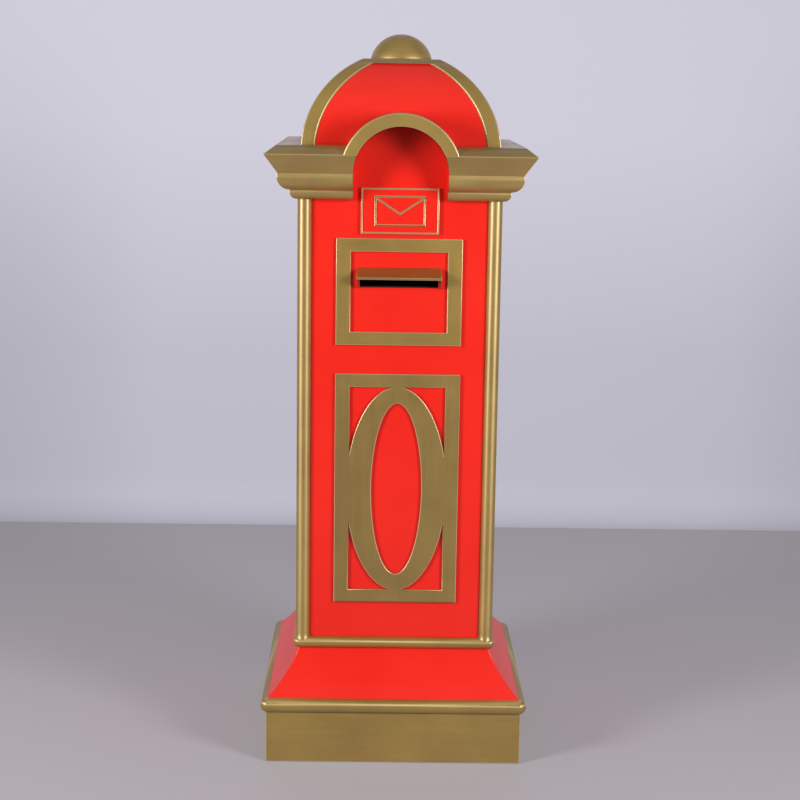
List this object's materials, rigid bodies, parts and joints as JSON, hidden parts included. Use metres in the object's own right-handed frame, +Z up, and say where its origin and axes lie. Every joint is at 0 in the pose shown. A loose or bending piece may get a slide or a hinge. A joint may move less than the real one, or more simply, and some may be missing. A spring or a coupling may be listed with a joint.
{
  "type": "pillar mailbox",
  "caption": "Free-standing square pillar mailbox with flared base, corner columns, arched niche, domed top, hooded letter slot and a locking rear door.",
  "frame": {"origin": "on the floor, in the middle of the square base", "axes": "+Z up, the letter slot faces -Y, +X to the right as seen from the front with the reader looking along +Y"},
  "size_m": [0.553, 0.553, 1.5],
  "materials": {
    "gold_board": "satin gold paint on board",
    "gold_moulding": "satin gold paint on glass-fibre moulding",
    "gold_sheet": "satin gold paint on folded sheet steel",
    "red_board": "gloss red paint on board",
    "red_moulding": "gloss red gel coat on glass-fibre moulding",
    "bare_board": "sealed birch plywood",
    "pad_rubber": "matt black rubber",
    "black_sheet": "matt black paint on sheet steel",
    "hinge_brass": "brushed brass",
    "lock_chrome": "polished chrome plate",
    "zinc_steel": "bright zinc plate"
  },
  "bodies": {
    "housing": {"arch_hood": "gold_moulding", "base_board": "bare_board", "corner_column_front_left": "gold_moulding", "corner_column_front_right": "gold_moulding", "corner_column_rear_left": "gold_moulding", "corner_column_rear_right": "gold_moulding", "corner_post_front_left": "bare_board", "corner_post_front_right": "bare_board", "corner_post_rear_left": "bare_board", "corner_post_rear_right": "bare_board", "cornice_deck": "bare_board", "cornice_front_left": "gold_moulding", "cornice_front_right": "gold_moulding", "cornice_left": "gold_moulding", "cornice_rear": "gold_moulding", "cornice_right": "gold_moulding", "dome_cap": "gold_moulding", "dome_rib_front_left": "gold_moulding", "dome_rib_front_right": "gold_moulding", "dome_rib_rear_left": "gold_moulding", "dome_rib_rear_right": "gold_moulding", "dome_shell": "red_moulding", "door_stop_frame": "bare_board", "envelope_emblem": "gold_board", "finial": "gold_moulding", "finial_bolt": "zinc_steel", "finial_nut": "zinc_steel", "flared_base": "red_moulding", "floor_cleats": "bare_board", "foot_pads": "pad_rubber", "front_panel": "red_board", "hinge_frame_leaf": "hinge_brass", "hinge_frame_screws": "zinc_steel", "hinge_pin": "hinge_brass", "left_panel": "red_board", "letter_chute": "black_sheet", "lower_astragal": "gold_moulding", "mail_floor": "bare_board", "niche_lining": "red_moulding", "oval_frame": "gold_board", "plaque_board": "red_board", "plaque_border": "gold_board", "plinth_deck": "bare_board", "plinth_front": "gold_board", "plinth_left": "gold_board", "plinth_nosing": "gold_moulding", "plinth_rear": "gold_board", "plinth_right": "gold_board", "rear_panel": "red_board", "right_panel": "red_board", "slot_frame": "gold_board", "slot_hood": "gold_sheet"},
    "door": {"rear_door": "red_board", "hinge_door_leaf": "hinge_brass", "hinge_door_screws": "zinc_steel", "lock_body": "lock_chrome", "lock_nut": "lock_chrome"},
    "lock": {"lock_plug": "lock_chrome", "lock_cam": "zinc_steel", "cam_screw": "zinc_steel"}
  },
  "joints": [
    {"name": "door_hinge", "type": "hinge", "parent": "housing", "child": "door", "pos_m": [-0.13925, 0.199, 0.61], "axis": [0, 0, 1], "range_deg": [0, 110]},
    {"name": "lock_turn", "type": "hinge", "parent": "door", "child": "lock", "pos_m": [0.112, 0.1695, 0.61], "axis": [0, -1, 0], "range_deg": [0, 90]}
  ]
}
